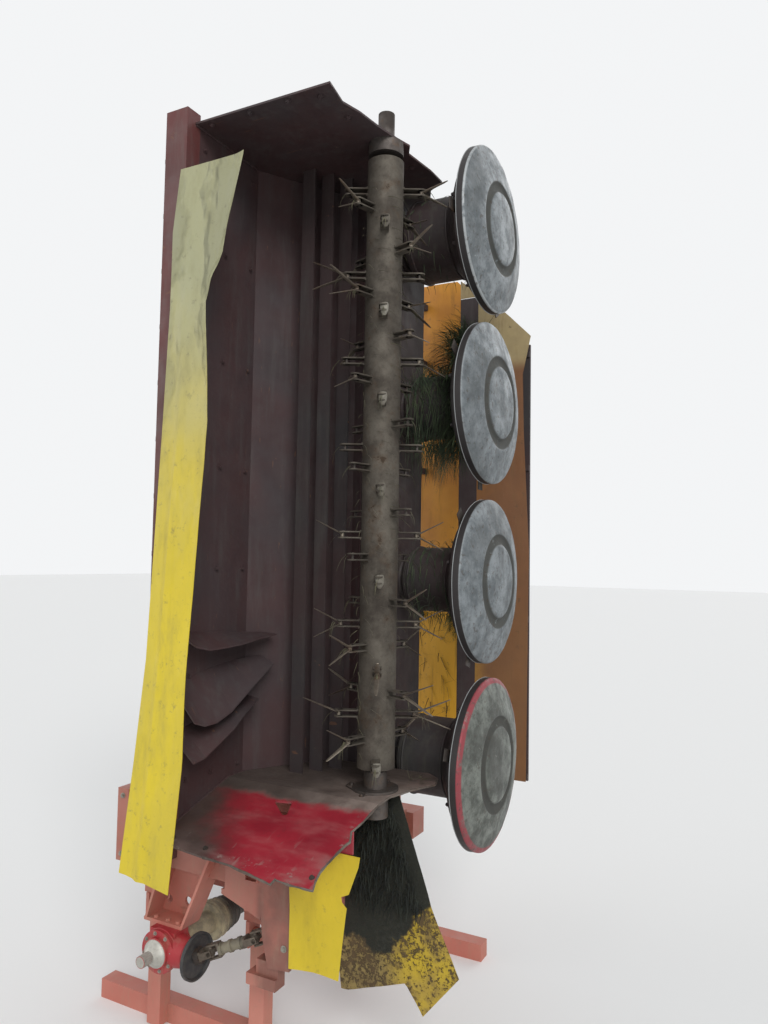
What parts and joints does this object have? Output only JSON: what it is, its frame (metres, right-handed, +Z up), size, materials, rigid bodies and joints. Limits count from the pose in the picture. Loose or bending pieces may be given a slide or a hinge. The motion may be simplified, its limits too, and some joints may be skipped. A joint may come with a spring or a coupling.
{
  "type": "drum mower",
  "caption": "Rear-mounted drum mower with tined conditioner rotor, hood and canvas guards, folded upright on its parking stands.",
  "frame": {"origin": "on the floor under the middle of the folded machine's outline", "axes": "+X to the machine's right, which is down towards the ground once the mower is lowered; +Y the driving direction; +Z up"},
  "size_m": [1.8356, 1.9912, 3.7639],
  "materials": {
    "black_plastic": "moulded",
    "blade_steel": "worn",
    "canvas_dirty": "coated canvas, caked",
    "canvas_yellow": "coated canvas",
    "casting_red": "worn gloss paint",
    "frame_red": "worn satin paint",
    "hood_dark": "dull worn paint with dirt",
    "steel_brown": "rusty brown",
    "steel_grey": "scoured by soil",
    "wall_red": "worn paint"
  },
  "bodies": {
    "carrier": {"carrier_frame": "frame_red", "post_beam": "frame_red", "hitch_frame": "frame_red", "hitch_pins": "blade_steel", "fold_pin": "blade_steel", "stand_lugs": "frame_red", "gearbox_bracket": "frame_red", "gearbox": "casting_red", "guard_disc": "black_plastic", "cross_shaft": "steel_brown", "pto_guard": "black_plastic", "pto_shaft": "blade_steel"},
    "lift_barrel": {"lift_barrel": "black_plastic"},
    "lift_rod": {"lift_rod": "blade_steel"},
    "rear_stand": {"rear_stand": "frame_red"},
    "front_stand": {"front_stand": "frame_red"},
    "rotor": {"rotor_tube": "steel_brown", "tines": "steel_brown"},
    "front_guard": {"guard_frame": "hood_dark", "front_canvas": "canvas_yellow"},
    "drum_1": {"drum_1": "hood_dark", "blades_1": "blade_steel"},
    "dish_1": {"dish_1": "steel_grey"},
    "drum_2": {"drum_2": "hood_dark", "blades_2": "blade_steel"},
    "dish_2": {"dish_2": "steel_grey"},
    "drum_3": {"drum_3": "hood_dark", "blades_3": "blade_steel"},
    "dish_3": {"dish_3": "steel_grey"},
    "drum_4": {"drum_4": "hood_dark", "blades_4": "blade_steel"},
    "dish_4": {"dish_4": "steel_grey"},
    "mower": {"gear_beam": "hood_dark", "drum_necks": "hood_dark", "hood_roof": "hood_dark", "rear_bar": "hood_dark", "side_wall_inner": "wall_red", "side_wall_outer": "hood_dark", "conditioner_plate": "hood_dark", "rotor_bearings": "steel_brown", "mower_frame": "frame_red", "guide_vanes": "hood_dark", "rear_curtain": "canvas_yellow", "inner_panel": "canvas_yellow", "inner_canvas": "canvas_dirty"}
  },
  "joints": [
    {"name": "mower_fold", "type": "hinge", "parent": "carrier", "child": "mower", "pos_m": [0.33475, -0.35441, 0.583], "axis": [0, 1, 0], "range_deg": [0, 90]},
    {"name": "lift_barrel_pivot", "type": "hinge", "parent": "carrier", "child": "lift_barrel", "pos_m": [-0.39525, -0.36441, 0.758], "axis": [0, 1, 0], "range_deg": [-0.01, 3.05]},
    {"name": "lift_rod_slide", "type": "slide", "parent": "lift_barrel", "child": "lift_rod", "axis": [0.9997, 0, 0.0259], "range_m": [0, 0.34065]},
    {"name": "rear_stand_swing", "type": "hinge", "parent": "carrier", "child": "rear_stand", "pos_m": [-0.13525, -0.42441, 0.473], "axis": [1, 0, 0], "range_deg": [-45, 0]},
    {"name": "front_stand_swing", "type": "hinge", "parent": "carrier", "child": "front_stand", "pos_m": [-0.13525, 0.70559, 0.473], "axis": [1, 0, 0], "range_deg": [-90, 0]},
    {"name": "rotor_spin", "type": "hinge", "parent": "mower", "child": "rotor", "pos_m": [0.58975, -0.35441, 2.123], "axis": [0, 0, 1], "continuous": true},
    {"name": "front_guard_hinge", "type": "hinge", "parent": "mower", "child": "front_guard", "pos_m": [0.25275, 0.34159, 2.123], "axis": [0, 0, 1], "range_deg": [0, 70]},
    {"name": "drum_1_spin", "type": "hinge", "parent": "mower", "child": "drum_1", "pos_m": [0.66475, 0.14559, 1.123], "axis": [1, 0, 0], "continuous": true},
    {"name": "dish_1_spin", "type": "hinge", "parent": "drum_1", "child": "dish_1", "pos_m": [0.86475, 0.14559, 1.123], "axis": [1, 0, 0], "continuous": true},
    {"name": "drum_2_spin", "type": "hinge", "parent": "mower", "child": "drum_2", "pos_m": [0.66475, 0.14559, 1.8855], "axis": [1, 0, 0], "continuous": true},
    {"name": "dish_2_spin", "type": "hinge", "parent": "drum_2", "child": "dish_2", "pos_m": [0.86475, 0.14559, 1.8855], "axis": [1, 0, 0], "continuous": true},
    {"name": "drum_3_spin", "type": "hinge", "parent": "mower", "child": "drum_3", "pos_m": [0.66475, 0.14559, 2.648], "axis": [1, 0, 0], "continuous": true},
    {"name": "dish_3_spin", "type": "hinge", "parent": "drum_3", "child": "dish_3", "pos_m": [0.86475, 0.14559, 2.648], "axis": [1, 0, 0], "continuous": true},
    {"name": "drum_4_spin", "type": "hinge", "parent": "mower", "child": "drum_4", "pos_m": [0.66475, 0.14559, 3.4105], "axis": [1, 0, 0], "continuous": true},
    {"name": "dish_4_spin", "type": "hinge", "parent": "drum_4", "child": "dish_4", "pos_m": [0.86475, 0.14559, 3.4105], "axis": [1, 0, 0], "continuous": true}
  ],
  "couplings": [
    {"joint": "lift_barrel_pivot", "follows": "mower_fold", "ratio": 0.033756},
    {"joint": "lift_rod_slide", "follows": "mower_fold", "m_per_rad": 0.21654},
    {"joint": "drum_2_spin", "follows": "drum_1_spin", "ratio": -1},
    {"joint": "drum_3_spin", "follows": "drum_1_spin", "ratio": 1},
    {"joint": "drum_4_spin", "follows": "drum_1_spin", "ratio": -1}
  ]
}
